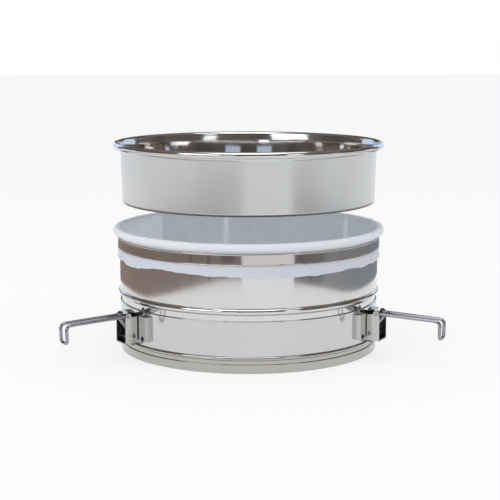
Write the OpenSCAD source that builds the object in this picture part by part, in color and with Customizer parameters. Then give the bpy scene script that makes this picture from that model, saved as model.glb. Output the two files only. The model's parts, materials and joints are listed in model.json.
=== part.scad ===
// Round cheese mould: a base dish, a mould body clamped to it by three
// draw latches, a cloth lining held by a hoop, and a pan-shaped pressing lid.
// Millimetres. +Z is up, the origin is the centre of the base's underside.

/* [Sheet steel] */
// Thickness of the sheet in the walls
sheet_t = 1.2; // [0.8:0.1:2]
// Diameter of the wire inside each rolled rim
rim_wire_d = 4; // [3:0.2:6]

/* [Mould body] */
// Inside radius of the mould wall
wall_r = 127.5; // [100:0.5:160]
// Height of the mould from the table to the top of its rim
mould_h = 121; // [115:1:180]
// How far the lower skirt stands in from the wall
skirt_step = 1.7; // [1.2:0.1:3]
// Radius of the swaged bead round the body
collar_bead_r = 3; // [2:0.5:4]
// Width of the plain strip between the band and the bead
strip_h = 6; // [3:0.5:12]
// Height of the reinforcing band that carries the latches
band_h = 33; // [31:1:36]
// Thickness of the reinforcing band
band_t = 1.5; // [1:0.1:2.5]

/* [Base dish] */
// Height of the foot band
foot_h = 8.4; // [7:0.2:14]
// Thickness of the foot band
foot_t = 1.2; // [0.8:0.1:2]
// Height of the narrow neck above the foot band
neck_h = 3.9; // [2:0.1:5]
// Height of the bead that the body stands on
base_bead_h = 3.7; // [3.2:0.1:6]
// How far that bead stands out from the neck
base_bead_out = 2.2; // [2:0.1:2.6]
// Height of the upstand inside the body's skirt
upstand_h = 12; // [11:0.5:16]
// Thickness of the drained bottom plate
bottom_t = 1.5; // [1:0.1:3]
// Diameter of a drain hole
drain_d = 3; // [2:0.5:5]
// Distance between rings of drain holes
drain_pitch = 20; // [14:1:30]

/* [Cloth lining] */
// Thickness of the cloth
cloth_t = 0.5; // [0.3:0.1:0.8]
// Height of the hoop that holds the cloth
hoop_h = 11; // [6:0.5:16]
// Thickness of the hoop
hoop_t = 1; // [0.6:0.1:1.6]
// Radius of the half-round edges of the hoop
hoop_edge_r = 0.6; // [0.4:0.1:0.9]
// Distance from the rim's top down to the hoop
hoop_drop = 9; // [9:0.5:20]
// Length of cloth below the hoop
hem_drop = 9; // [4:1:20]
// Width of the split at the back of the hoop
hoop_split = 3; // [1:0.5:8]

/* [Pressing lid] */
// Height of the lid
lid_h = 60; // [40:1:70]
// How much narrower than the lined mould the top of the lid's wall is
lid_slack = 0.5; // [0.3:0.1:2]
// How much narrower the lid's wall is at the bottom than at the top
lid_taper = 1.3; // [0.5:0.1:4]
// Radius of the lid's bottom corner
lid_corner_r = 3; // [2:0.5:8]
// Height of the flare under the lid's rim
lid_flare_h = 6; // [4:0.5:10]
// Height of the lifted lid above the mould's rim
lid_lift = 24; // [5:1:80]

/* [Latches] */
// Distance of the lever's pivot from the band
pivot_out = 13; // [12.5:0.1:14]
// Height of the lever's pivot above the base's bead
pivot_up = 28.5; // [28:0.5:31]
// Diameter of the lever's wire
lever_d = 3.2; // [2.4:0.1:3.4]
// Distance from the pivot to the lever's bent end
lever_len = 63.5; // [45:0.5:80]
// Length of the lever's bent end
lever_end = 17; // [12:0.5:22]
// Slope of the open lever below level, in degrees
lever_slope = 1.7; // [0:0.1:5]
// Distance from the pivot to the cross pin that carries the loop
cam_throw = 6; // [5.8:0.1:6.4]
// Diameter of the cross pin
cross_pin_d = 3; // [2.4:0.1:3.2]
// Diameter of the draw loop's wire
loop_d = 2.4; // [2:0.1:2.6]
// Distance between the two wires of the draw loop
loop_gap = 5.6; // [5:0.1:6]
// Drop from the cross pin to the loop's straight tail
loop_shoulder = 14.5; // [12:0.5:16]
// Width of the latch box across its cheeks
box_w = 18.8; // [18.4:0.1:20]
// Thickness of the latch box's sheet
box_t = 1.2; // [0.8:0.1:1.4]
// How far the latch box stands out from the band
box_out = 16.5; // [16:0.5:18]
// Width of each foot plate
foot_plate_w = 12; // [12:0.2:18]
// How far the foot plates' face stands out from the band
foot_plate_out = 3.2; // [3:0.2:5]
// Width of the relief slot between cheek and foot plate
relief_w = 1.8; // [1.2:0.1:2.4]
// Diameter of a rivet's head
rivet_head_d = 5; // [4:0.2:6]
// Diameter of a rivet's shank
rivet_d = 3; // [2:0.2:3.4]

/* [Fits] */
// Gap between the base's upstand and the body's skirt
fit_gap = 0.3; // [0.2:0.05:0.6]
// Gap of a pin in its hole
pin_gap = 0.05; // [0.03:0.01:0.09]

/* [Hidden] */

$fn = 96;
eps = 0.01;
LEFT = 210;
RIGHT = 330;
REAR = 90;

// radii of the nested walls
wall_ro = wall_r + sheet_t;
skirt_ro = wall_ro - skirt_step;
skirt_ri = skirt_ro - sheet_t;
band_ro = skirt_ro + band_t;
upstand_ro = skirt_ri - fit_gap;
upstand_ri = upstand_ro - sheet_t;

// heights of the stack
neck_top = foot_h + neck_h;
seat_z = neck_top + base_bead_h;
upstand_top = seat_z + upstand_h;
band_top = seat_z + band_h;
bead_z = band_top + strip_h + collar_bead_r;
bead_top = bead_z + collar_bead_r;

// rolled rims
rim_ro = rim_wire_d / 2 + sheet_t;
rim_r = wall_r + rim_ro;
rim_z = mould_h - rim_ro;
lid_z = mould_h + lid_lift;
lid_rim_z = lid_z + lid_h - rim_ro;
roll_slit = 0.6;
cut_over = 5;

// cloth
cloth_gap = 0.1;
liner_gap = 0.3;
cloth_out = wall_ro + cloth_gap;
hoop_top = mould_h - hoop_drop;
hoop_bottom = hoop_top - hoop_h;
hoop_ri = cloth_out + cloth_t + cloth_gap;
hem_flare = 1.2;

// lid wall
lid_top_r = wall_r - cloth_gap - cloth_t - lid_slack;
lid_bottom_r = lid_top_r - lid_taper;

// latch, measured out from the mould's axis and up from the table
pivot_r = band_ro + pivot_out;
pivot_z = seat_z + pivot_up;
lever_r = lever_d / 2;
leg_y = box_w / 2 - box_t - 0.3 - lever_r;
leg_bend = lever_r + 0.4;
stub_end = box_w / 2 + 0.9;
end_bend = 5;
corner_bend = lever_r + 1.9;
cross_pin_r = cross_pin_d / 2;

loop_r = loop_d / 2;
bight_r = loop_gap / 2;
loop_bend = loop_r + 0.8;
loop_foot = 0.9;
knee_swell = 0.1;
eye_ro = cross_pin_r + pin_gap + 1.2;
eye_w = loop_gap + loop_d;
hook_gap = 0.3;
window_top = seat_z + 8;
window_h = loop_d + 1.6;
window_w = loop_gap + loop_d + 2;

// the loop at rest: eye on the open lever's cross pin, and the place of its tail
eye_r = pivot_r + cam_throw * cos(lever_slope);
eye_z = pivot_z - cam_throw * sin(lever_slope);
draw_in = eye_r - pivot_r;
draw_up = pivot_z + cam_throw - eye_z;
tail_r = upstand_ri + loop_r + bight_r + loop_foot + loop_bend + draw_in;
bight_z = window_top - hook_gap - loop_r - draw_up;
knee_z = eye_z - loop_shoulder;
knee_turn = atan2(eye_r - tail_r, eye_z - knee_z);

// latch box
box_r = band_ro + box_out;
box_bottom = seat_z + 2.4;
box_top = pivot_z - 0.5;
ear_r = lever_r + 1.4;
pad_bottom = seat_z + 5;
pad_r = band_ro + foot_plate_out;
pad_y = box_w / 2 + relief_w;
plate_slot_r = tail_r + loop_r + 0.8;
guide_r = 1.1;
guide_pin_r = tail_r + loop_r + 0.4 + guide_r;
guide_pin_z = seat_z + 8;
rivet_y = pad_y + foot_plate_w * 0.54;
rivet_z = pad_bottom + rivet_head_d / 2;
rivet_head_h = 1.2;

// points of an arc about a centre, from one angle to another
function arc(c, r, from, to, n = 16) =
    [for (i = [0:n]) let (a = from + (to - from) * i / n) c + r * [cos(a), sin(a)]];

// angle at which a line from point p leaves the outer side of a circle
function leave(c, r, p) =
    atan2(p[1] - c[1], p[0] - c[0]) + acos(r / norm(p - c));

// places children on the latch at an angle round the mould, +X facing out
module at_latch(angle) rotate([0, 0, angle]) children();

// round bar along X, Y or Z from the origin
module rod_x(length, r) rotate([0, 90, 0]) cylinder(h = length, r = r);
module rod_y(length, r) rotate([-90, 0, 0]) cylinder(h = length, r = r);
module rod_z(length, r) cylinder(h = length, r = r);

// bent round bar in the XY plane, from +X towards +Y
module bend(radius, r, angle = 90)
    rotate_extrude(angle = angle, $fn = 180) translate([radius, 0]) circle(r = r, $fn = 48);

// section of a rim rolled over its wire, with the curl's end just off the wall
module rolled_rim_section(centre_r, centre_z)
    difference() {
        translate([centre_r, centre_z]) circle(r = rim_ro);
        translate([centre_r, centre_z]) circle(r = rim_wire_d / 2);
        translate([centre_r - rim_ro + sheet_t, centre_z - rim_ro - eps])
            square([roll_slit, sheet_t + 0.6]);
    }

// ---- base dish ----

// Wall of the dish: plain ring, bead with a ledge, and the upstand above it
module base_ring() {
    bead_r = base_bead_h / 2;
    bead_x = skirt_ro + base_bead_out - bead_r;
    bead_y = neck_top + bead_r;
    color("lightsteelblue")
    difference() {
        rotate_extrude() difference() {
            union() {
                translate([skirt_ri, 0]) square([sheet_t, neck_top + sheet_t]);
                translate([skirt_ri, neck_top]) square([bead_x - skirt_ri, sheet_t]);
                translate([bead_x, bead_y]) circle(r = bead_r);
                translate([upstand_ri, seat_z - sheet_t]) square([bead_x - upstand_ri, sheet_t]);
                translate([upstand_ri, seat_z - sheet_t]) square([sheet_t, upstand_h + sheet_t]);
            }
            translate([bead_x, bead_y]) circle(r = bead_r - sheet_t);
            translate([upstand_ri - eps, neck_top + sheet_t])
                square([bead_x - upstand_ri, base_bead_h - 2 * sheet_t]);
        }
        for (angle = [LEFT, RIGHT, REAR]) at_latch(angle)
            translate([upstand_ri - 2, -window_w / 2, window_top - window_h])
                cube([2 * sheet_t + 2, window_w, window_h]);
    }
}

// Band round the foot, with its top edge broken
module foot_band()
    color("silver") rotate_extrude()
        polygon([[skirt_ro, 0], [skirt_ro + foot_t, 0], [skirt_ro + foot_t, foot_h - foot_t / 2],
                 [skirt_ro + foot_t / 2, foot_h], [skirt_ro, foot_h]]);

// Flat plate with rings of drain holes about a plain centre
module bottom_plate() {
    rings = floor((skirt_ri - 8) / drain_pitch);
    color("gainsboro")
    linear_extrude(bottom_t) difference() {
        circle(r = skirt_ri, $fn = 180);
        for (ring = [1:rings]) for (i = [0:6 * ring - 1])
            rotate(i * 60 / ring) translate([ring * drain_pitch, 0]) circle(d = drain_d, $fn = 24);
    }
}

// ---- mould body ----

// Wall, swaged bead and skirt in one sheet, rolled outwards at the top
module collar_wall() {
    color("lightsteelblue")
    difference() {
        rotate_extrude() {
            translate([skirt_ri, seat_z]) square([sheet_t, bead_z - seat_z - collar_bead_r + sheet_t]);
            difference() {
                translate([skirt_ro, bead_z]) circle(r = collar_bead_r);
                translate([skirt_ro, bead_z]) circle(r = collar_bead_r - sheet_t);
                translate([0, bead_z - collar_bead_r]) square([skirt_ri, 2 * collar_bead_r]);
                translate([0, bead_z]) square([wall_r, 2 * collar_bead_r]);
                translate([skirt_ri - eps, bead_z - collar_bead_r + 1.5 * sheet_t])
                    square([sheet_t, collar_bead_r - 1.5 * sheet_t + eps]);
            }
            translate([wall_r, bead_top - 1.2 * sheet_t]) square([sheet_t, rim_z - bead_top + 1.2 * sheet_t]);
            rolled_rim_section(rim_r, rim_z);
        }
        latch_notches(skirt_ro);
    }
}

// Notches in a bottom edge that let the three draw loops through
module latch_notches(radius)
    for (angle = [LEFT, RIGHT, REAR]) at_latch(angle)
        translate([radius - cut_over, -window_w / 2, seat_z - 1])
            cube([2 * cut_over, window_w, window_top + 1 - seat_z + 1]);

// Band riveted round the skirt, standing on the base's bead
module outer_band()
    color("silver")
    difference() {
        rotate_extrude()
            polygon([[skirt_ro, seat_z], [band_ro, seat_z], [band_ro, band_top - band_t / 2],
                     [band_ro - band_t / 3, band_top], [skirt_ro, band_top]]);
        latch_notches(band_ro);
        for (angle = [LEFT, RIGHT, REAR]) at_latch(angle) rivet_holes();
    }

// Wire inside the body's rolled rim
module collar_rim_wire()
    color("dimgray") translate([0, 0, rim_z]) rotate_extrude() translate([rim_r, 0]) circle(d = rim_wire_d);

// Lining: a bag in the mould, over the rim and down under the hoop to a loose hem
module cloth_liner() {
    bag_r = upstand_ri - liner_gap;
    skirt_bag_r = skirt_ri - liner_gap;
    wall_bag_r = wall_r - cloth_gap;
    floor_z = bottom_t + liner_gap;
    centre = [rim_r, rim_z];
    inner_bend = rim_ro + cloth_gap;
    outer_bend = inner_bend + cloth_t;
    inner_grip = [cloth_out, hoop_top];
    outer_grip = [cloth_out + cloth_t, hoop_top];
    hem_z = hoop_bottom - hem_drop;
    color("white") rotate_extrude() polygon(concat(
        [[0, floor_z], [bag_r, floor_z], [bag_r, upstand_top + 1], [skirt_bag_r, upstand_top + 3],
         [skirt_bag_r, bead_z], [wall_bag_r, bead_top + 1]],
        arc(centre, inner_bend, 180, leave(centre, inner_bend, inner_grip)),
        [inner_grip, [cloth_out, hoop_bottom], [cloth_out + hem_flare, hem_z],
         [cloth_out + hem_flare + cloth_t, hem_z], [cloth_out + cloth_t, hoop_bottom], outer_grip],
        arc(centre, outer_bend, leave(centre, outer_bend, outer_grip), 180),
        [[wall_bag_r - cloth_t, bead_top + 1], [skirt_bag_r - cloth_t, bead_z],
         [skirt_bag_r - cloth_t, upstand_top + 3 + cloth_t], [bag_r - cloth_t, upstand_top + 1 + cloth_t],
         [bag_r - cloth_t, floor_z + cloth_t], [0, floor_z + cloth_t]]));
}

// Sprung hoop that grips the cloth, split at the back
module cloth_hoop()
    color("silver")
    difference() {
        translate([0, 0, hoop_bottom]) rotate_extrude() {
            translate([hoop_ri, 0]) square([hoop_t, hoop_h]);
            for (edge = [hoop_edge_r, hoop_h - hoop_edge_r]) intersection() {
                translate([hoop_ri + hoop_t - hoop_edge_r / 2, edge]) circle(r = hoop_edge_r, $fn = 32);
                translate([hoop_ri, 0]) square([3 * hoop_t, hoop_h]);
            }
        }
        at_latch(REAR) translate([hoop_ri - cut_over, -hoop_split / 2, hoop_bottom - 1])
            cube([2 * cut_over + hoop_t, hoop_split, hoop_h + 2]);
    }

// ---- pressing lid ----

// Pan with a small bottom corner, slight taper and a flared, rolled rim
module lid_pan() {
    corner = lid_z + lid_corner_r;
    flare_z = lid_rim_z - lid_flare_h;
    inner_corner = lid_corner_r - sheet_t;
    color("whitesmoke") rotate_extrude() {
        polygon(concat(
            [[0, lid_z]],
            arc([lid_bottom_r - lid_corner_r, corner], lid_corner_r, -90, 0, 8),
            [[lid_top_r, flare_z], [rim_r - rim_ro + sheet_t, lid_rim_z], [rim_r - rim_ro, lid_rim_z],
             [lid_top_r - sheet_t, flare_z]],
            arc([lid_bottom_r - lid_corner_r, corner], inner_corner, 0, -90, 8),
            [[0, lid_z + sheet_t]]));
        rolled_rim_section(rim_r, lid_rim_z);
    }
}

// Wire inside the lid's rolled rim
module lid_rim_wire()
    color("dimgray") translate([0, 0, lid_rim_z]) rotate_extrude() translate([rim_r, 0]) circle(d = rim_wire_d);

// ---- draw latches ----

// Outline of one cheek of the latch box, seen from the side
module cheek_outline() {
    translate([band_ro - 2, box_bottom]) square([box_out + 2, box_top - box_bottom - 2]);
    translate([band_ro - 2, box_bottom]) square([box_out - 3, box_top - box_bottom]);
    translate([pivot_r, box_bottom]) square([ear_r, pivot_z - box_bottom]);
    translate([pivot_r, pivot_z]) circle(r = ear_r, $fn = 48);
}

// Two rivet holes through a pair of foot plates
module rivet_holes()
    for (side = [-1, 1])
        translate([band_ro - 8, side * rivet_y, rivet_z]) rod_x(foot_plate_out + 10, rivet_d / 2);

// Latch box between two foot plates: cheeks with the lever's bearings, a slotted
// floor for the loop, and two small tabs that the open lever lies on
module latch_bracket(angle)
    color("silver") at_latch(angle)
    difference() {
        union() {
            for (side = [-1, 1]) {
                translate([0, side * (box_w - box_t) / 2 + box_t / 2, 0])
                    rotate([90, 0, 0]) linear_extrude(box_t) cheek_outline();
                translate([pivot_r + leg_bend / 2, side * (box_w / 2 - box_t - 1.4) - 1.5,
                           pivot_z - lever_r - 0.3 - box_t])
                    cube([box_r - pivot_r - leg_bend / 2, 3, box_t]);
            }
            translate([band_ro - 2, -box_w / 2, box_bottom]) cube([box_out + 2, box_w, box_t]);
            for (side = [-1, 1])
                translate([band_ro - 5, side > 0 ? pad_y : -pad_y - foot_plate_w, pad_bottom])
                    cube([foot_plate_out + 5, foot_plate_w, box_top + 1 - pad_bottom]);
            for (side = [-1, 1])
                translate([band_ro - 5, side > 0 ? box_w / 2 - eps : -pad_y - eps, pad_bottom])
                    cube([6, relief_w + 2 * eps, box_top + 1 - pad_bottom]);
        }
        cylinder(r = band_ro, h = mould_h, $fn = 180);
        translate([band_ro - 2, -window_w / 2, box_bottom - 1])
            cube([plate_slot_r - band_ro + 2, window_w, box_t + 2]);
        translate([pivot_r, -box_w, pivot_z]) rod_y(2 * box_w, lever_r + pin_gap);
        translate([guide_pin_r, -box_w, guide_pin_z]) rod_y(2 * box_w, guide_r);
        rivet_holes();
    }

// Two dome-headed rivets that fix a pair of foot plates to the band
module bracket_rivets(angle)
    color("dimgray") at_latch(angle)
    for (side = [-1, 1]) translate([pad_r, side * rivet_y, rivet_z]) {
        dome_r = (pow(rivet_head_d / 2, 2) + pow(rivet_head_h, 2)) / (2 * rivet_head_h);
        rotate([0, 90, 0]) rotate_extrude($fn = 48) intersection() {
            translate([0, rivet_head_h - dome_r]) circle(r = dome_r, $fn = 96);
            square([rivet_head_d, rivet_head_d]);
        }
        difference() {
            translate([-foot_plate_out - 5, 0, 0]) rod_x(foot_plate_out + 5, rivet_d / 2);
            translate([-pad_r, -side * rivet_y, -rivet_z]) cylinder(r = skirt_ro, h = mould_h, $fn = 180);
        }
    }

// Riveted pin across the box that keeps the loop's tail in
module guide_pin(angle)
    color("gray") at_latch(angle) translate([guide_pin_r, 0, guide_pin_z]) {
        translate([0, -box_w / 2, 0]) rod_y(box_w, guide_r);
        for (side = [-1, 1])
            translate([0, side > 0 ? box_w / 2 : -box_w / 2 - 0.5, 0]) rod_y(0.5, guide_r + 0.8);
    }

// Wire bail: stubs in the cheeks, two legs, the bent end, and the cross pin
module lever(angle)
    color("slategray") at_latch(angle)
    translate([pivot_r, 0, pivot_z]) rotate([0, lever_slope, 0]) {
        half_lever();
        mirror([0, 1, 0]) half_lever();
        translate([cam_throw, -leg_y, 0]) rod_y(2 * leg_y, cross_pin_r);
        translate([lever_len, corner_bend - leg_y, -lever_end])
            rod_y(2 * (leg_y - corner_bend), lever_r);
    }

module half_lever() {
    translate([0, leg_y + leg_bend, 0]) rod_y(stub_end - leg_y - leg_bend, lever_r);
    translate([leg_bend, leg_y + leg_bend, 0]) rotate([0, 0, 180]) bend(leg_bend, lever_r);
    translate([leg_bend, leg_y, 0]) rod_x(lever_len - end_bend - leg_bend, lever_r);
    translate([lever_len - end_bend, leg_y, -end_bend]) rotate([90, 0, 0]) bend(end_bend, lever_r);
    translate([lever_len, leg_y, corner_bend - lever_end])
        rod_z(lever_end - corner_bend - end_bend, lever_r);
    translate([lever_len, leg_y - corner_bend, corner_bend - lever_end])
        rotate([0, 90, 0]) bend(corner_bend, lever_r);
}

// Wire draw loop: eye on the cross pin, two slanting wires, straight tail, hooked bight
module draw_loop(angle) {
    slant = norm([eye_r - tail_r, eye_z - knee_z]);
    slant_start = (cross_pin_r + pin_gap + eye_ro) / 2;
    color("lightgray") at_latch(angle) {
        translate([eye_r, -eye_w / 2, eye_z]) difference() {
            rod_y(eye_w, eye_ro);
            translate([0, -1, 0]) rod_y(eye_w + 2, cross_pin_r + pin_gap);
        }
        for (side = [-1, 1]) translate([0, side * bight_r, 0]) {
            translate([eye_r, 0, eye_z]) rotate([0, 180 + knee_turn, 0])
                translate([0, 0, slant_start]) rod_z(slant - slant_start, loop_r);
            translate([tail_r, 0, knee_z]) sphere(r = loop_r + knee_swell);
            translate([tail_r, 0, bight_z + loop_bend]) rod_z(knee_z - bight_z - loop_bend, loop_r);
            translate([tail_r - loop_bend, 0, bight_z + loop_bend])
                rotate([90, 0, 0]) rotate([0, 0, -90]) bend(loop_bend, loop_r);
            translate([tail_r - loop_bend - loop_foot, 0, bight_z]) rod_x(loop_foot, loop_r);
        }
        translate([tail_r - loop_bend - loop_foot, 0, bight_z])
            rotate([0, 0, 90]) bend(bight_r, loop_r, 180);
    }
}

base_ring();
foot_band();
bottom_plate();
collar_wall();
outer_band();
collar_rim_wire();
cloth_liner();
cloth_hoop();
lid_pan();
lid_rim_wire();
latch_bracket(LEFT);  // left_latch_bracket
latch_bracket(RIGHT);  // right_latch_bracket
latch_bracket(REAR);  // rear_latch_bracket
bracket_rivets(LEFT);  // left_bracket_rivets
bracket_rivets(RIGHT);  // right_bracket_rivets
bracket_rivets(REAR);  // rear_bracket_rivets
guide_pin(LEFT);  // left_guide_pin
guide_pin(RIGHT);  // right_guide_pin
guide_pin(REAR);  // rear_guide_pin
lever(LEFT);  // left_lever
lever(RIGHT);  // right_lever
lever(REAR);  // rear_lever
draw_loop(LEFT);  // left_draw_loop
draw_loop(RIGHT);  // right_draw_loop
draw_loop(REAR);  // rear_draw_loop
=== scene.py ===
import json
import math

import bmesh
import bpy
from mathutils import Matrix, Vector, noise


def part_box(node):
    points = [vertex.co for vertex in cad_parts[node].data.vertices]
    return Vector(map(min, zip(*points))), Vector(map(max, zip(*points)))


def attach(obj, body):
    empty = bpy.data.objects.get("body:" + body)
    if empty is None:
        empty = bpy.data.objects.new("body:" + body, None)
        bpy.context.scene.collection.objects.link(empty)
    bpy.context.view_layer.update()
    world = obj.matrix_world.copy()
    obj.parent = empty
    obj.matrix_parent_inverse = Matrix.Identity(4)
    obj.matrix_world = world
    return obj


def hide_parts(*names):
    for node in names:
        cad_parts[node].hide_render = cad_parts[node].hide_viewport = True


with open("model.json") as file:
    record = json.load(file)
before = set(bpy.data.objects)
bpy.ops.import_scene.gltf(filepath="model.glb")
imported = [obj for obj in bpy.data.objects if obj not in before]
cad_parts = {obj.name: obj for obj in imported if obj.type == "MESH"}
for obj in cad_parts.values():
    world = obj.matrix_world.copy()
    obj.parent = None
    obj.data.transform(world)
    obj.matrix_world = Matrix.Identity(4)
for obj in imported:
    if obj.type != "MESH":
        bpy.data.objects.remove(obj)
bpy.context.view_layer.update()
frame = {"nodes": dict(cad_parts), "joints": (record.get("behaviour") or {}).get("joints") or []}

# ---- Table, camera and light ------------------------------------------------
# The mould stands on a wide pale table in a plain studio. The camera looks
# slightly down on it, turned a few degrees from the mould's own front.

view_turn = math.radians(-3.0)
view_down = math.radians(9.081)
view_aside = 0.0011
camera_back = 1.345
camera_up = 0.3104


def in_view(x, y, z):
    """A point given across, away from and above the table, as the camera sees them."""
    c, s = math.cos(view_turn), math.sin(view_turn)
    return Vector((c * x - s * y, s * x + c * y, z))


def placed(name, data):
    """A new object of the scene."""
    made = bpy.data.objects.new(name, data)
    bpy.context.collection.objects.link(made)
    return made


camera_data = bpy.data.cameras.new("camera")
camera_data.lens = 97.7
camera_data.sensor_width = 36.0
camera = placed("camera", camera_data)
camera.location = in_view(0, -camera_back, camera_up)
camera.rotation_euler = (math.pi / 2 - view_down, 0, view_turn - view_aside)
bpy.context.scene.camera = camera
bpy.context.scene.view_settings.view_transform = "Standard"


class Value:
    """A socket of a shader tree that can be used in ordinary arithmetic."""

    def __init__(self, tree, socket=None):
        self.tree = tree
        self.socket = socket

    def node(self, kind, settings, inputs, output=0):
        """Adds a shader node, sets it up, feeds its inputs and gives one output."""
        made = self.tree.nodes.new("ShaderNode" + kind)
        for key, setting in settings.items():
            setattr(made, key, setting)
        for key, given in inputs.items():
            if isinstance(given, Value):
                given.feeds(made.inputs[key])
            else:
                made.inputs[key].default_value = given
        return Value(self.tree, made.outputs[output])

    def feeds(self, socket):
        """Links this value to an input."""
        self.tree.links.new(self.socket, socket)

    def maths(self, operation, first, second):
        """Adds the Math node of one operator."""
        return self.node("Math", {"operation": operation}, {0: first, 1: second})

    def __add__(self, other):
        return self.maths("ADD", self, other)

    def __radd__(self, other):
        return self.maths("ADD", other, self)

    def __sub__(self, other):
        return self.maths("SUBTRACT", self, other)

    def __rsub__(self, other):
        return self.maths("SUBTRACT", other, self)

    def __mul__(self, other):
        return self.maths("MULTIPLY", self, other)

    def __rmul__(self, other):
        return self.maths("MULTIPLY", other, self)

    def __pow__(self, other):
        return self.maths("POWER", self, other)


def material(name):
    """A new material: the material, its tree as a Value, and its shader node."""
    made = bpy.data.materials.new(name)
    made.use_nodes = True
    return made, Value(made.node_tree), made.node_tree.nodes["Principled BSDF"]


def between(tree, share, first, second):
    """A colour mixed from two others, with the share of the second."""
    return tree.node("Mix", {"data_type": "RGBA"}, {0: share, 6: first, 7: second}, output=2)


def background_rays(tree):
    """1 where the white background is seen: straight on, in metal or through glass."""
    kinds = ("Is Camera Ray", "Is Glossy Ray", "Is Transmission Ray")
    straight, mirrored, through = (tree.node("LightPath", {}, {}, kind) for kind in kinds)
    return straight + mirrored + through


table_near, table_far = 6, 9
white_share = 0.76
table_mesh = bpy.data.meshes.new("table")
table_mesh.from_pydata([(-table_near, -table_near, 0), (table_near, -table_near, 0),
                        (table_near, table_far, 0), (-table_near, table_far, 0)], [], [(0, 1, 2, 3)])
table = placed("table", table_mesh)
table_white, tree, shader = material("table_white")
shader.inputs["Base Color"].default_value = (0.86, 0.86, 0.865, 1)
shader.inputs["Roughness"].default_value = 0.9
shader.inputs["Specular IOR Level"].default_value = 0.1
lit = Value(tree.tree, shader.outputs[0])
lift = tree.node("Emission", {}, {"Color": (1, 1, 1, 1), "Strength": 1.0})
surface = tree.node("MixShader", {}, {0: background_rays(tree) * white_share, 1: lit, 2: lift})
surface.feeds(table_white.node_tree.nodes["Material Output"].inputs["Surface"])
table_white.cycles.emission_sampling = "NONE"
table_mesh.materials.append(table_white)

world = bpy.data.worlds.new("studio")
bpy.context.scene.world = world
world.use_nodes = True
sky = Value(world.node_tree)
white = between(sky, background_rays(sky), (0.80, 0.81, 0.83, 1), (1, 1, 1, 1))
white.feeds(world.node_tree.nodes["Background"].inputs["Color"])


def softbox(name, place, target, width, height, power):
    """A rectangular lamp aimed at a target."""
    lamp = bpy.data.lights.new(name, "AREA")
    lamp.shape = "RECTANGLE"
    lamp.size = width
    lamp.size_y = height
    lamp.energy = power
    holder = placed(name, lamp)
    holder.location = in_view(*place)
    aim = in_view(*target) - holder.location
    holder.rotation_euler = aim.to_track_quat("-Z", "Y").to_euler()


softbox("overhead", (0.1, -0.2, 1.9), (0, 0, 0.1), 1.6, 1.2, 9)
softbox("front_left", (-1.5, -1.3, 1.1), (0, 0, 0.1), 0.8, 1.0, 6)


def panel(name, corners, colour, strength=1.0):
    """A flat glowing card through four corners, seen only in the polished steel."""
    made, tree, shader = material(name)
    made.node_tree.nodes.remove(shader)
    glow = tree.node("Emission", {}, {"Color": (*colour, 1), "Strength": strength})
    glow.feeds(made.node_tree.nodes["Material Output"].inputs["Surface"])
    made.cycles.emission_sampling = "NONE"
    mesh = bpy.data.meshes.new(name)
    mesh.from_pydata([in_view(*c) for c in corners], [], [(0, 1, 2, 3)])
    mesh.materials.append(made)
    card = placed(name, mesh)
    card.visible_camera = False
    card.visible_diffuse = False
    card.visible_shadow = False
    card.visible_transmission = False


def screen(name, start, stop, low, high, colour, strength=1.0):
    """An upright card between two places on the table."""
    panel(name, [(*start, low), (*stop, low), (*stop, high), (*start, high)], colour, strength)


def place_round(degrees, out):
    """A place on the table, so far out and turned from straight ahead."""
    turn = math.radians(degrees)
    return out * math.sin(turn), -out * math.cos(turn)


# The steel reflects a dark room: mottled low walls with bright openings,
# plain upper walls and ceiling, a ceiling light and two windows in front.
room_r = 2.4
room_h = 2.0
room_low = 0.45
room_sides = 72
side_turn = 360 / room_sides
wall_sides = 3
wall_tone = (0.17, 0.145, 0.13)
low_tones = ((0.16, 0.13, 0.11), (0.07, 0.058, 0.05), (0.24, 0.19, 0.155), (0.11, 0.13, 0.13),
             (0.30, 0.25, 0.22))
# Each opening has its middle and half its width in degrees, and its light.
openings = ((-14, 6, (1.5, 1.6, 1.75)), (-52, 4, (0.9, 1.0, 1.1)), (37, 7, (1.0, 1.0, 1.0)),
            (76, 5, (0.6, 0.65, 0.7)), (118, 9, (0.8, 0.85, 0.9)), (-118, 11, (0.75, 0.8, 0.85)),
            (172, 12, (0.6, 0.6, 0.6)))
for side in range(room_sides):
    start = place_round(side * side_turn, room_r)
    stop = place_round((side + 1) * side_turn, room_r)
    middle = (side + 0.5) * side_turn
    tone = low_tones[int(2.5 + 2.6 * noise.noise((side * 0.31, 3.1, 0))) % len(low_tones)]
    for centre, half, light in openings:
        if abs((middle - centre + 180) % 360 - 180) < half:
            tone = light
    screen(f"room_low_{side}", start, stop, 0.0, room_low, tone)
    if side % wall_sides == 0:
        stop = place_round((side + wall_sides) * side_turn, room_r)
        shade = 0.8 + 0.4 * noise.noise((side * 0.2, 7.7, 0))
        screen(f"room_wall_{side}", start, stop, room_low, room_h, tuple(shade * c for c in wall_tone))
panel("room_ceiling", [(-room_r, -room_r, room_h), (room_r, -room_r, room_h),
                       (room_r, room_r, room_h), (-room_r, room_r, room_h)], (0.22, 0.2, 0.19))
panel("ceiling_light", [(-0.7, -1.5, 1.95), (0.7, -1.5, 1.95), (0.7, -0.3, 1.95), (-0.7, -0.3, 1.95)],
      (1.0, 1.0, 1.0), 2.2)
window_light = (0.85, 0.93, 1.0)
screen("window_left", (-1.5, -1.8), (-0.9, -2.1), 0.5, 1.8, window_light, 2.0)
screen("window_right", (1.2, -1.9), (1.6, -1.6), 0.5, 1.5, window_light, 1.6)

# Low screens close round the mould darken the sides of its upper wall. Narrow
# posts give it dark upright lines, and two blue cards behind light its edges.
screen_top = 0.071
screen_swell = 0.18
post_r = 0.44
glow_r = 1.1
glow_half = 14


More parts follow.
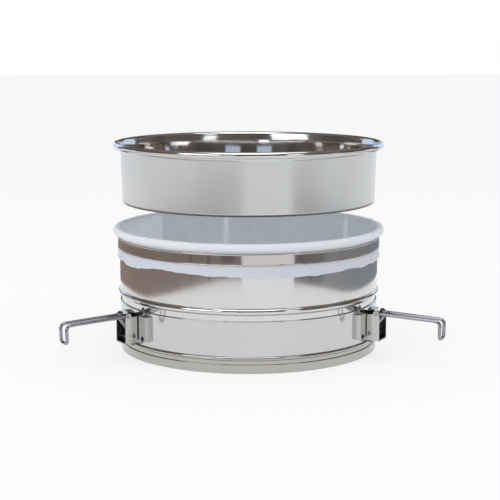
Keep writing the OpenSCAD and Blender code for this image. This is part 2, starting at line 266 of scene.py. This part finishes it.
def low_screens(name, turns, near, colours):
    """Screens on a curve that swells out in front, shaded from one colour to another."""
    places = [place_round(turn, near + screen_swell * max(0, math.cos(math.radians(turn))) ** 1.3)
              for turn in turns]
    for i, (start, stop) in enumerate(zip(places, places[1:])):
        share = i / (len(places) - 2)
        colour = tuple(a + (b - a) * share for a, b in zip(*colours))
        screen(f"{name}_{i}", start, stop, 0.0, screen_top, colour)


low_screens("low_left", range(-5, -158, -9), 0.414, ((0.27, 0.22, 0.20), (0.31, 0.245, 0.205)))
low_screens("low_mid", (35, 43, 51, 60), 0.455, ((0.17, 0.15, 0.14), (0.22, 0.22, 0.22)))
low_screens("low_right", range(60, 160, 11), 0.455, ((0.30, 0.31, 0.32), (0.235, 0.275, 0.31)))
posts = (("post_a", -43.0, 0.45, 0.026, 0.07), ("post_b", -29.0, 0.8, 0.026, 0.10),
         ("post_c", -15.0, 4.5, 0.050, 0.14))
for name, turn, half, foot_z, tone in posts:
    screen(name, place_round(turn - half, post_r), place_round(turn + half, post_r), foot_z, screen_top,
           (tone, tone * 0.85, tone * 0.85))
for name, turn in (("glow_left", -150), ("glow_right", 150)):
    screen(name, place_round(turn - glow_half, glow_r), place_round(turn + glow_half, glow_r), 0.09, 0.6,
           (0.62, 0.78, 1.0), 1.2)

# ---- Pressing lid -------------------------------------------------------------
# A pan spun from 1.2 mm stainless sheet: satin outside, polished inside, with
# a slightly tapered wall, a small flare and a rim rolled over a wire.

lid_low, lid_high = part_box("lid_pan")
spin_steps = 256
sheet = 0.0012
roll_r = 0.0032
rim_centre_r = (lid_high[0] - lid_low[0]) / 2 - roll_r
lid_z = lid_low[2]
lid_rim_z = lid_high[2] - roll_r
lid_gap = 0.001
lid_taper = 0.0013
lid_flare_h = 0.006
corner_r = 0.003


def arc(centre, radius, start, stop, steps=10):
    """Points on an arc, from one angle to another in degrees."""
    return [(centre[0] + radius * math.cos(math.radians(start + (stop - start) * i / steps)),
             centre[1] + radius * math.sin(math.radians(start + (stop - start) * i / steps)))
            for i in range(steps + 1)]


def eased(points, radius):
    """A closed outline with each sharp corner rounded by a small radius."""
    eased_points = []
    for i, point in enumerate(points):
        here = Vector(point)
        before = Vector(points[i - 1]) - here
        after = Vector(points[(i + 1) % len(points)]) - here
        corner = before.angle(after, math.pi)
        if corner > math.radians(150):
            eased_points.append(point)
            continue
        cut = min(radius / math.tan(corner / 2), before.length * 0.45, after.length * 0.45)
        start = here + before.normalized() * cut
        stop = here + after.normalized() * cut
        for t in (0, 0.25, 0.5, 0.75, 1):
            place = start * (1 - t) ** 2 + here * 2 * t * (1 - t) + stop * t * t
            eased_points.append((place.x, place.y))
    return eased_points


def even_shading(piece):
    """Lets the large faces set the shading where they meet rounded edges."""
    piece.modifiers.new("even_shading", "WEIGHTED_NORMAL").weight = 50


def spun(name, outline, closed, materials, steps=spin_steps, wobble=0.0):
    """Spins an outline of radius, height and perhaps material number round the Z axis."""
    outline = [(*p, 0)[:3] for p in outline]
    vertices, rings = [], []
    for radius, height, _ in outline:
        if radius < 1e-6:
            rings.append([len(vertices)] * steps)
            vertices.append((0, 0, height))
            continue
        rings.append([len(vertices) + i for i in range(steps)])
        for i in range(steps):
            a = 2 * math.pi * i / steps
            r = radius * (1 + wobble * math.sin(2 * a + 0.6) + 0.5 * wobble * math.sin(3 * a + 2.0))
            vertices.append((r * math.cos(a), r * math.sin(a), height))
    faces, numbers = [], []
    for i in range(len(rings) if closed else len(rings) - 1):
        low, high = rings[i], rings[(i + 1) % len(rings)]
        for j in range(steps):
            k = (j + 1) % steps
            corners = [low[j], low[k], high[k], high[j]]
            faces.append([c for n, c in enumerate(corners) if c not in corners[:n]])
            numbers.append(outline[i][2])
    mesh = bpy.data.meshes.new(name)
    mesh.from_pydata(vertices, [], faces)
    mesh.polygons.foreach_set("material_index", numbers)
    mesh.polygons.foreach_set("use_smooth", [True] * len(faces))
    for one in materials:
        mesh.materials.append(one)
    piece = placed(name, mesh)
    even_shading(piece)
    return piece


wrap_r = 0.13  # turns an angle round the mould into a length


def on_piece(tree):
    """The place on a piece, its three parts, its distance from the axis and its turn."""
    place = tree.node("TexCoord", {}, {}, "Object")
    x, y, z = (tree.node("SeparateXYZ", {}, {0: place}, axis) for axis in "XYZ")
    turn = tree.node("Math", {"operation": "ARCTAN2"}, {0: y, 1: x})
    return place, x, y, z, (x * x + y * y) ** 0.5, turn


def steel(name, colour, rough, rough_spread, grain, dents, along="round"):
    """Stainless sheet or wire: fine polishing lines, soft waves and faint clouds."""
    made, tree, shader = material(name)
    place, x, y, z, radius, turn = on_piece(tree)
    across, lengthwise = (z + radius, turn) if along == "round" else (turn * wrap_r, z)
    lines_at = tree.node("CombineXYZ", {}, {0: across * 900.0, 1: lengthwise * 5.0, 2: radius * 40.0})
    lines = tree.node("TexNoise", {}, {"Vector": lines_at, "Scale": 1.0, "Detail": 3.0, "Roughness": 0.6})
    cloud = tree.node("TexNoise", {}, {"Vector": place, "Scale": 26.0, "Detail": 3.0, "Roughness": 0.55})
    waves_at = tree.node("CombineXYZ", {}, {0: x * 7.0, 1: y * 7.0, 2: z * 16.0})
    waves = tree.node("TexNoise", {}, {"Vector": waves_at, "Scale": 1.0, "Detail": 1.0, "Roughness": 0.4})
    dull = (*[c * 0.93 for c in colour], 1)
    bright = (*[min(c * 1.06, 1) for c in colour], 1)
    between(tree, cloud * 0.7 + lines * 0.3, dull, bright).feeds(shader.inputs["Base Color"])
    roughness = rough + rough_spread * ((lines - 0.5) * 1.4 + (cloud - 0.5) * 0.8)
    roughness.feeds(shader.inputs["Roughness"])
    buckled = tree.node("Bump", {}, {"Strength": 1.0, "Distance": dents, "Height": waves})
    grooved = tree.node("Bump", {}, {"Strength": 1.0, "Distance": grain, "Height": lines, "Normal": buckled})
    grooved.feeds(shader.inputs["Normal"])
    shader.inputs["Metallic"].default_value = 1.0
    return made


lid_satin = steel("lid_satin", (0.625, 0.64, 0.65), 0.24, 0.06, 2e-7, 5e-4)
lid_mirror = steel("lid_mirror", (0.70, 0.69, 0.68), 0.06, 0.04, 1e-6, 6e-4)
rim_polish = steel("rim_polish", (0.66, 0.64, 0.625), 0.11, 0.05, 1e-6, 2e-4)
# The lid's bottom corner is the same sheet, coloured dark brown: painted shade along the lid's foot.
lid_edge = steel("lid_edge", (0.17, 0.15, 0.13), 0.30, 0.05, 2e-7, 2e-4)

OUTSIDE, INSIDE, RIM, FOOT_SHADE = 0, 1, 2, 3
lid_wall_r = lid_high[0] - 2 * roll_r - lid_gap
lid_foot_r = lid_wall_r - lid_taper
flare_z = lid_rim_z - lid_flare_h
lid_corner = (lid_foot_r - corner_r, lid_z + corner_r)
lid_outline = [(0, lid_z, OUTSIDE)]
lid_outline += [(*p, FOOT_SHADE) for p in arc(lid_corner, corner_r, -90, -22)]
lid_outline += [(*p, OUTSIDE) for p in arc(lid_corner, corner_r, -16, 0, 3)]
lid_outline += [(lid_wall_r, flare_z, OUTSIDE)]
lid_outline += [(rim_centre_r - roll_r + sheet - 0.0003, lid_rim_z - 0.0013, RIM)]
lid_outline += [(*p, RIM) for p in arc((rim_centre_r, lid_rim_z), roll_r, -129, 180, 40)]
lid_outline += [(lid_wall_r - sheet, flare_z, INSIDE)]
lid_outline += [(*p, INSIDE) for p in arc(lid_corner, corner_r - sheet, 0, -90)]
lid_outline += [(0, lid_z + sheet, INSIDE)]
lid = spun("pressing_lid", lid_outline, False, [lid_satin, lid_mirror, rim_polish, lid_edge], wobble=0.0004)
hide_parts("lid_pan")
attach(lid, "lid")

core_steel = steel("core_steel", (0.5, 0.5, 0.5), 0.3, 0.1, 2e-6, 1e-4)


def finish_node(name, made):
    """Gives a piece carried over from the frame its finish."""
    piece = frame["nodes"][name]
    piece.data.materials.clear()
    piece.data.materials.append(made)


finish_node("lid_rim_wire", core_steel)
finish_node("collar_rim_wire", core_steel)

# ---- Mould body -------------------------------------------------------------
# The wall, its swaged bead and the skirt below are one sheet of polished
# stainless, rolled outwards over a wire at the top under the cloth.

body_steel = steel("body_steel", (0.68, 0.675, 0.665), 0.085, 0.05, 1.2e-6, 7e-4)
collar_low, collar_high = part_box("collar_wall")
base_low, base_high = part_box("base_ring")
band_low, band_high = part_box("outer_band")
band_r = (band_high[0] - band_low[0]) / 2
skirt_r = band_r - 0.0015
seat_z = collar_low[2]
band_top = band_high[2]
wall_in = rim_centre_r - roll_r
bead_r = 0.003
bead_z = band_top + 0.006 + bead_r
rim_z = collar_high[2] - roll_r
edge_r = 0.0004
strip_edge_r = 0.0005

# Notches in the skirt's foot let the latches' wire loops through.
latch_turns = [math.atan2(j["pos_m"][1], j["pos_m"][0]) for j in frame["joints"]
               if j["name"].endswith("_lever_swing")]
notch_w = 0.010
notch_top = seat_z + 0.009
cut_depth = 0.010
cut_over = 0.001


def cut_out(piece, radius, depth, width, low, high, turns):
    """Cuts a square opening through a spun wall at each turn."""
    work = bmesh.new()
    for turn in turns:
        at = Matrix.Rotation(turn, 4, "Z") @ Matrix.Translation((radius, 0, (low + high) / 2))
        bmesh.ops.create_cube(work, size=1, matrix=at @ Matrix.Diagonal((depth, width, high - low, 1)))
    mesh = bpy.data.meshes.new("cutter")
    work.to_mesh(mesh)
    work.free()
    cutter = placed("cutter", mesh)
    piece.modifiers.clear()
    opening = piece.modifiers.new("opening", "BOOLEAN")
    opening.object = cutter
    opening.solver = "EXACT"
    bpy.context.view_layer.update()
    cut = bpy.data.meshes.new_from_object(piece.evaluated_get(bpy.context.evaluated_depsgraph_get()))
    piece.modifiers.clear()
    piece.data = cut
    bpy.data.objects.remove(cutter)
    even_shading(piece)


body_outline = [(skirt_r - sheet, seat_z), (skirt_r, seat_z), (skirt_r, bead_z - bead_r - 0.0006)]
body_outline += arc((skirt_r, bead_z), bead_r, -78, 66, 20)
body_outline += [(wall_in + sheet, bead_z + bead_r + 0.0004), (wall_in + sheet, rim_z - 0.0026)]
body_outline += arc((rim_centre_r, rim_z), roll_r, -129, 180, 40)
body_outline += [(wall_in, bead_z + bead_r), (wall_in, bead_z + bead_r - 0.0012)]
body_outline += arc((skirt_r, bead_z), bead_r - sheet, 60, -90, 10)
body = spun("mould_wall", eased(body_outline, edge_r), True, [body_steel], wobble=0.0003)
cut_out(body, skirt_r, cut_depth, notch_w, seat_z - cut_over, notch_top, latch_turns)
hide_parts("collar_wall")
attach(body, "mould")

# ---- Latch band -------------------------------------------------------------
# A wider strip of the same sheet, riveted round the skirt to carry the
# latches. It stands on the base's bead.

band_steel = steel("band_steel", (0.60, 0.61, 0.615), 0.12, 0.06, 1.5e-6, 9e-4)
band_outline = [(skirt_r, seat_z), (band_r, seat_z), (band_r, band_top), (skirt_r, band_top)]
band = spun("latch_band", eased(band_outline, strip_edge_r), True, [band_steel], wobble=0.0003)
cut_out(band, skirt_r, cut_depth, notch_w, seat_z - cut_over, notch_top, latch_turns)
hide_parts("outer_band")
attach(band, "mould")

# ---- Base dish ----------------------------------------------------------------
# A ring with a rolled bead that the body stands on, a foot band round it, and
# a drained plate. The upstand inside the skirt keeps the body in place, and
# the latches' wire loops hook into its windows.

foot_low, foot_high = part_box("foot_band")
foot_r = (foot_high[0] - foot_low[0]) / 2
foot_top = foot_high[2]
base_bead_r = (base_high[0] - base_low[0]) / 2
half_bead = 0.00185
upstand_r = skirt_r - sheet - 0.0003
ring_steel = steel("ring_steel", (0.475, 0.462, 0.435), 0.13, 0.06, 1.5e-6, 5e-4)
base_bead_z = seat_z - half_bead
upstand_top = base_high[2]
window_depth = 0.0044
window_low, window_high = seat_z + 0.004, seat_z + 0.008
base_outline = [(skirt_r - sheet, 0.0), (skirt_r, 0.0), (skirt_r, base_bead_z - half_bead - 0.0003)]
base_outline += arc((base_bead_r - half_bead, base_bead_z), half_bead, -80, 90, 16)
base_outline += [(upstand_r, seat_z), (upstand_r, upstand_top), (upstand_r - sheet, upstand_top),
                 (upstand_r - sheet, seat_z - sheet), (skirt_r - sheet, seat_z - sheet - 0.001)]
base = spun("base_dish", eased(base_outline, edge_r), True, [ring_steel], wobble=0.0003)
cut_out(base, upstand_r, window_depth, notch_w, window_low, window_high, latch_turns)
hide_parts("base_ring")
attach(base, "base")

foot_outline = [(skirt_r, 0.0), (foot_r, 0.0), (foot_r, foot_top), (skirt_r, foot_top)]
foot = spun("foot_ring", eased(foot_outline, strip_edge_r), True, [ring_steel], wobble=0.0003)
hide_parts("foot_band")
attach(foot, "base")

finish_node("bottom_plate", steel("plate_steel", (0.7, 0.7, 0.69), 0.28, 0.1, 3e-6, 3e-4))

# ---- Hoop ---------------------------------------------------------------------
# A narrow sprung strip with rounded edges that grips the cloth under the rim.
# It is split at the back.

hoop_low, hoop_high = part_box("cloth_hoop")
hoop_r = (hoop_high[0] - hoop_low[0]) / 2 - 0.0003
hoop_steel = steel("hoop_steel", (0.57, 0.545, 0.52), 0.10, 0.05, 2e-6, 4e-4)
hoop_foot, hoop_top = hoop_low[2], hoop_high[2]
hoop_t = 0.001
lip_r = 0.0006
lip_centre_r = hoop_r - lip_r / 2
split_w = 0.003
hoop_outline = [(hoop_r - hoop_t, hoop_foot)]
hoop_outline += arc((lip_centre_r, hoop_foot + lip_r), lip_r, -90, 70, 8)
hoop_outline += [(hoop_r, hoop_foot + 0.0014), (hoop_r, hoop_top - 0.0014)]
hoop_outline += arc((lip_centre_r, hoop_top - lip_r), lip_r, -70, 90, 8)
hoop_outline += [(hoop_r - hoop_t, hoop_top)]
hoop = spun("cloth_hoop_strip", hoop_outline, True, [hoop_steel], wobble=0.0002)
cut_out(hoop, hoop_r, cut_depth, split_w, hoop_foot - cut_over, hoop_top + cut_over, [math.pi / 2])
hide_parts("cloth_hoop")
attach(hoop, "mould")

# ---- Cloth lining -------------------------------------------------------------
# Fine white cheesecloth: a bag in the mould, turned over the rim and gripped
# by the hoop, with a loose, slightly wavy hem below it.

cloth_steps = 480
wall_rows = 12
plate_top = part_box("bottom_plate")[1][2]
bag_r = upstand_r - sheet - 0.0006
lining_r = wall_in - 0.0005
wall_foot_z = bead_z + bead_r + 0.003
grip_r = hoop_r - 0.0015

# The room that folds have beside the lid's wall, which is straight up to its
# flare, and under its rim, when the lid is pressed right down.
lid_room = 0.0002
rim_room = 0.00035
pressed_flare_z = 0.119
lid_wall_h = 0.048


def ripple(turn, height, scale, seed):
    """A smooth value from -1 to 1 that runs on round the mould."""
    return noise.noise((scale * math.cos(turn), scale * math.sin(turn), height + seed))


def held_under(depth, limit):
    """Flattens a fold smoothly, so that it never rises above the limit."""
    return limit * (1 - math.exp(-depth / limit))


def bag_line(turn):
    """The bag: out over the plate, past the upstand and the bead, and up the wall."""
    line = [(bag_r * t, plate_top + 0.0006 + 0.0006 * max(0, ripple(turn, t, 5 * t, 1.0)))
            for t in (0, 0.25, 0.5, 0.75, 0.93)]
    line += [(bag_r - 0.0008, 0.0032), (bag_r, 0.007), (bag_r, 0.018), (bag_r - 0.0002, upstand_top + 0.001),
             (bag_r + 0.0013, upstand_top + 0.005), (bag_r + 0.0013, band_top + 0.001),
             (bag_r + 0.0020, bead_z + 0.001), (lining_r - 0.0002, wall_foot_z)]
    for i in range(1, wall_rows):
        height = wall_foot_z + (rim_z - 0.002 - wall_foot_z) * i / wall_rows
        broad = max(0, ripple(turn, i * 0.25, 6.0, 2.0)) * i / wall_rows
        narrow = abs(ripple(turn, i * 0.1, 14.0, 3.0))
        clear = lid_room + lid_taper * max(0, (pressed_flare_z - height) / lid_wall_h)
        line.append((lining_r - held_under(0.0016 * broad + 0.0009 * narrow, clear), height))
    return line


def rim_line(turn, puff):
    """The turn over the rolled rim: puffed outside, flattened where the lid comes down."""
    line = []
    for angle in range(180, -41, -20):
        a = math.radians(angle)
        fold = puff * (0.6 + 0.4 * math.sin(a)) * (1 + 0.5 * ripple(turn, angle * 0.012, 20.0, 43.0))
        if angle > 60:
            fold = held_under(fold, rim_room)
        reach = roll_r + 0.0003 + fold
        line.append((rim_centre_r + reach * math.cos(a), rim_z + reach * math.sin(a)))
    return line


def hem_line(turn, bulge):
    """Down under the hoop, and the loose hem below it."""
    line = [(grip_r + bulge, rim_z - 0.0045), (grip_r + bulge * 0.8, hoop_top + 0.0012),
            (grip_r + 0.0002, hoop_top - 0.0003), (grip_r, hoop_top - 0.004), (grip_r, hoop_foot + 0.002)]
    length = 0.0090 + 0.0040 * ripple(turn, 0, 1.6, 21.0) + 0.0020 * ripple(turn, 0, 5.0, 23.0)
    length += 0.0012 * ripple(turn, 0, 12.0, 25.0)
    for t in (0.0, 0.25, 0.5, 0.75, 0.95, 1.0):
        wave = 0.0011 * ripple(turn, t * 0.4, 7.0, 31.0) + 0.0006 * ripple(turn, t, 17.0, 33.0)
        out = max(-0.0002, 0.0006 + 0.0009 * t + wave * t)
        line.append((grip_r + out, hoop_foot - 0.0002 - length * t))
    return line


def faired(line):
    """A smooth curve through a line's points, with one more between each two."""
    curve = [line[0]]
    for before, here, there, after in zip([line[0], *line], line, line[1:], [*line[2:], line[-1]]):
        for t in (0.5, 1.0):
            curve.append(tuple(0.5 * (2 * q + (r - p) * t + (2 * p - 5 * q + 4 * r - s) * t * t
                                      + (3 * q - p - 3 * r + s) * t ** 3)
                               for p, q, r, s in zip(before, here, there, after)))
    return curve


def cloth_line(turn):
    """One line of the cloth, from the bag's middle to the hem."""
    slack = ripple(turn, 0, 2.2, 5.0)
    fine = ripple(turn, 0, 9.0, 11.0)
    crease = abs(ripple(turn, 0, 16.0, 13.0))
    puff = 0.0001 + 0.0006 * max(0, slack) + 0.0007 * max(0, fine) + 0.0014 * crease
    bulge = 0.0008 + 0.0008 * slack + 0.0009 * fine + 0.0012 * crease
    return faired(bag_line(turn) + rim_line(turn, puff) + hem_line(turn, bulge))


cloth_turns = [2 * math.pi * i / cloth_steps for i in range(cloth_steps)]
cloth_lines = [cloth_line(turn) for turn in cloth_turns]
deep = len(cloth_lines[0]) - 1
points = [(0, 0, cloth_lines[0][0][1])]
for turn, line in zip(cloth_turns, cloth_lines):
    points += [(r * math.cos(turn), r * math.sin(turn), z) for r, z in line[1:]]
faces = []
for i in range(cloth_steps):
    here = 1 + i * deep
    there = 1 + (i + 1) % cloth_steps * deep
    faces.append((0, there, here))
    faces += [(here + j, there + j, there + j + 1, here + j + 1) for j in range(deep - 1)]
cloth_mesh = bpy.data.meshes.new("cheesecloth")
cloth_mesh.from_pydata(points, [], faces)
cloth_mesh.polygons.foreach_set("use_smooth", [True] * len(faces))
cloth = placed("cheesecloth", cloth_mesh)
thick = cloth.modifiers.new("thick", "SOLIDIFY")
thick.thickness = 0.0003
thick.offset = 0

cheesecloth, tree, shader = material("cheesecloth")
place, x, y, z, radius, turn = on_piece(tree)
thread_waves = 5200.0  # radians a metre, a thread about every 1.2 mm
weft = tree.node("Math", {"operation": "SINE"}, {0: z * thread_waves})
warp = tree.node("Math", {"operation": "SINE"}, {0: turn * (wrap_r * thread_waves)})
weave = weft * 0.5 + warp * 0.5
crumple = tree.node("TexNoise", {}, {"Vector": place, "Scale": 55.0, "Detail": 4.0, "Roughness": 0.6})
# Inside the mould the cloth takes a darker blue-grey: painted shade of the mould around and behind it.
inside_shade_glow = tree.node("MapRange", {"interpolation_type": "SMOOTHSTEP"}, {
    0: radius, 1: wall_in - 0.0012, 2: wall_in + 0.001, 3: 1.0, 4: 0.0})
# Below the hoop the hem is coloured darker: painted shade under the hoop.
low = tree.node("MapRange", {"interpolation_type": "SMOOTHSTEP"}, {
    0: z, 1: hoop_foot - 0.001, 2: hoop_top, 3: 1.0, 4: 0.0})
outer_with_hem_shade = between(tree, low, (0.78, 0.81, 0.845, 1), (0.62, 0.66, 0.72, 1))
painted_shade_tint = between(tree, inside_shade_glow, outer_with_hem_shade, (0.60, 0.635, 0.67, 1))
# The colour lightens with the noise that raises the folds: painted light on the fold crests.
shade = between(tree, crumple * 0.25, painted_shade_tint, (0.74, 0.76, 0.79, 1))
lap_edge = 0.008
laps = []
for start, stop in ((2.33, 3.3), (1.69, 1.735), (0.55, 0.60)):
    rise = tree.node("MapRange", {}, {0: turn, 1: start - lap_edge, 2: start + lap_edge, 3: 0.0, 4: 1.0})
    fall = tree.node("MapRange", {}, {0: turn, 1: stop - lap_edge, 2: stop + lap_edge, 3: 1.0, 4: 0.0})
    laps.append(rise * fall)
lapped = between(tree, sum(laps[1:], laps[0]) * inside_shade_glow * 0.8, shade, (0.86, 0.90, 0.94, 1))
lapped.feeds(shader.inputs["Base Color"])
# The cloth inside the mould also glows, though it is no lamp: painted light that lifts the shaded lining.
between(tree, inside_shade_glow, (0, 0, 0, 1), lapped).feeds(shader.inputs["Emission Color"])
shader.inputs["Emission Strength"].default_value = 0.22
shader.inputs["Roughness"].default_value = 0.85
shader.inputs["Sheen Weight"].default_value = 0.25
folds = tree.node("Bump", {}, {"Strength": 1.0, "Distance": 0.0022, "Height": crumple})
woven = tree.node("Bump", {}, {"Strength": 0.6, "Distance": 0.00008, "Height": weave, "Normal": folds})
woven.feeds(shader.inputs["Normal"])
cheesecloth.cycles.emission_sampling = "NONE"
cloth_mesh.materials.append(cheesecloth)
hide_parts("cloth_liner")
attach(cloth, "mould")

# ---- Latches ------------------------------------------------------------------
# Bent sheet boxes riveted to the band, a bail lever of drawn wire in each, and
# a wire loop on the lever's cross pin that draws the base up.

bracket_steel = steel("bracket_steel", (0.60, 0.59, 0.57), 0.22, 0.08, 2e-6, 2e-4, along="up")
# The rivet heads are steel coloured nearly black: painted reflection of the dark that their polished domes
# mirror.
rivet_dark_reflection = steel("rivet_steel", (0.025, 0.025, 0.027), 0.45, 0.08, 2e-6, 1e-4)
# The box's inner faces get a dark copy of the steel: painted shade in its recess.
inner_steel = steel("inner_steel", (0.13, 0.12, 0.115), 0.25, 0.08, 2e-6, 2e-4, along="up")
wire_steel = steel("wire_steel", (0.36, 0.36, 0.41), 0.20, 0.08, 2e-6, 1e-4)


box_inner_half = 0.0084
box_edge = 0.00025
fastener_edge = 0.0002


def softened(name, node, width, made, shaded_inner=None, facing=0.0):
    """A copy of a frame node with its flat faces merged and its edges broken.

    Faces near the middle of a box that faces that way get the second, darker material: painted shade in the
    box's recess.
    """
    mesh = frame["nodes"][node].data.copy()
    mesh.name = name
    mesh.materials.clear()
    mesh.materials.append(made)
    if shaded_inner:
        mesh.materials.append(shaded_inner)
    piece = placed(name, mesh)
    work = bmesh.new()
    work.from_mesh(mesh)
    bmesh.ops.remove_doubles(work, verts=work.verts, dist=1e-6)
    bmesh.ops.dissolve_limit(work, angle_limit=math.radians(0.5), verts=work.verts, edges=work.edges)
    for face in work.faces:
        face.smooth = True
        if shaded_inner:
            aside = (Matrix.Rotation(-facing, 4, "Z") @ face.calc_center_median()).y
            face.material_index = int(abs(aside) < box_inner_half)
    work.to_mesh(mesh)
    work.free()
    edges = piece.modifiers.new("edges", "BEVEL")
    edges.width = width
    edges.segments = 2
    edges.limit_method = "ANGLE"
    edges.angle_limit = math.radians(40)
    even_shading(piece)
    return piece


def bent(corners, radii, steps=8):
    """A path through corners, each rounded by its own radius."""
    corners = [Vector(c) for c in corners]
    path = [corners[0]]
    for here, before, after, radius in zip(corners[1:-1], corners, corners[2:], radii):
        back, on = (before - here).normalized(), (after - here).normalized()
        half = back.angle(on) / 2
        centre = here + (back + on).normalized() * (radius / math.sin(half))
        start = here + back * (radius / math.tan(half))
        stop = here + on * (radius / math.tan(half))
        for i in range(steps + 1):
            path.append(centre + (start - centre).slerp(stop - centre, i / steps).normalized() * radius)
    return path + [corners[-1]]


def wire(name, paths, thickness, made, frame_at):
    """Round wire along paths given in a latch's own frame, as one mesh."""
    curve = bpy.data.curves.new(name, "CURVE")
    curve.dimensions = "3D"
    curve.bevel_depth = thickness / 2
    curve.bevel_resolution = 6
    curve.use_fill_caps = True
    for path in paths:
        spline = curve.splines.new("POLY")
        spline.points.add(len(path) - 1)
        for point, place in zip(spline.points, path):
            point.co = (*(frame_at @ place), 1)
    holder = placed(name + "_curve", curve)
    bpy.context.view_layer.update()
    mesh = bpy.data.meshes.new_from_object(holder.evaluated_get(bpy.context.evaluated_depsgraph_get()))
    bpy.data.objects.remove(holder)
    mesh.name = name
    mesh.materials.clear()
    mesh.materials.append(made)
    mesh.polygons.foreach_set("use_smooth", [True] * len(mesh.polygons))
    return placed(name, mesh)


lever_d = 0.0032
leg_y = 0.0063
stub_end = 0.0103
throw = 0.006
lever_len = 0.0635
lever_drop = 0.017
stub_bend, leg_bend, grip_bend = 0.002, 0.005, 0.0035
slope = math.radians(1.7)
loop_d = 0.0024
loop_y = 0.0028
tail_x = -0.0103
hook_reach = 0.0057
shoulder_z = -0.0145
shoulder_bend, tail_bend, tip_bend = 0.003, 0.002, 0.0026
eye_in, eye_out, eye_half = 0.00155, 0.00275, 0.004
eye_start = 0.0021

for joint in frame["joints"]:
    if not joint["name"].endswith("_lever_swing"):
        continue
    side = joint["name"].split("_")[0]
    pivot = Vector(joint["pos_m"])
    facing = math.atan2(pivot.y, pivot.x)
    box_part = softened(f"{side}_latch_box", f"{side}_latch_bracket", box_edge, bracket_steel,
                        inner_steel, facing)
    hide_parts(f"{side}_latch_bracket")
    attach(box_part, "mould")
    for kind, label, made in (("bracket_rivets", "rivet_heads", rivet_dark_reflection),
                              ("guide_pin", "box_pin", bracket_steel)):
        part = softened(f"{side}_{label}", f"{side}_{kind}", fastener_edge, made)
        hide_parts(f"{side}_{kind}")
        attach(part, "mould")

    at_pivot = Matrix.Translation(pivot) @ Matrix.Rotation(facing, 4, "Z") @ Matrix.Rotation(slope, 4, "Y")
    bail = bent([(0, stub_end, 0), (0, leg_y, 0), (lever_len, leg_y, 0), (lever_len, leg_y, -lever_drop),
                 (lever_len, -leg_y, -lever_drop), (lever_len, -leg_y, 0), (0, -leg_y, 0), (0, -stub_end, 0)],
                [stub_bend, leg_bend, grip_bend, grip_bend, leg_bend, stub_bend])
    cross = [Vector((throw, -leg_y, 0)), Vector((throw, leg_y, 0))]
    lever = wire(f"{side}_bail_lever", [bail, cross], lever_d, wire_steel, at_pivot)
    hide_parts(f"{side}_lever")
    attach(lever, f"{side}_lever")

    eye = at_pivot @ Vector((throw, 0, 0))
    at_eye = Matrix.Translation(eye) @ Matrix.Rotation(facing, 4, "Z")
    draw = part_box(f"{side}_draw_loop")
    foot_z = draw[0][2] + loop_d / 2 - eye.z
    start = Vector((tail_x, 0, shoulder_z)).normalized() * eye_start
    tip_x = tail_x - hook_reach
    hook = bent([(start.x, loop_y, start.z), (tail_x, loop_y, shoulder_z), (tail_x, loop_y, foot_z),
                 (tip_x, loop_y, foot_z), (tip_x, -loop_y, foot_z), (tail_x, -loop_y, foot_z),
                 (tail_x, -loop_y, shoulder_z), (start.x, -loop_y, start.z)],
                [shoulder_bend, tail_bend, tip_bend, tip_bend, tail_bend, shoulder_bend])
    loop = wire(f"{side}_wire_hook", [hook], loop_d, wire_steel, at_eye)
    eye_outline = [(eye_in, -eye_half), (eye_out, -eye_half), (eye_out, eye_half), (eye_in, eye_half)]
    sleeve = spun(f"{side}_hook_eye", eased(eye_outline, 0.0003), True, [wire_steel], steps=48)
    sleeve.data.transform(at_eye @ Matrix.Rotation(math.pi / 2, 4, "X"))
    for part in (loop, sleeve):
        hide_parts(f"{side}_draw_loop")
        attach(part, f"{side}_draw_loop")
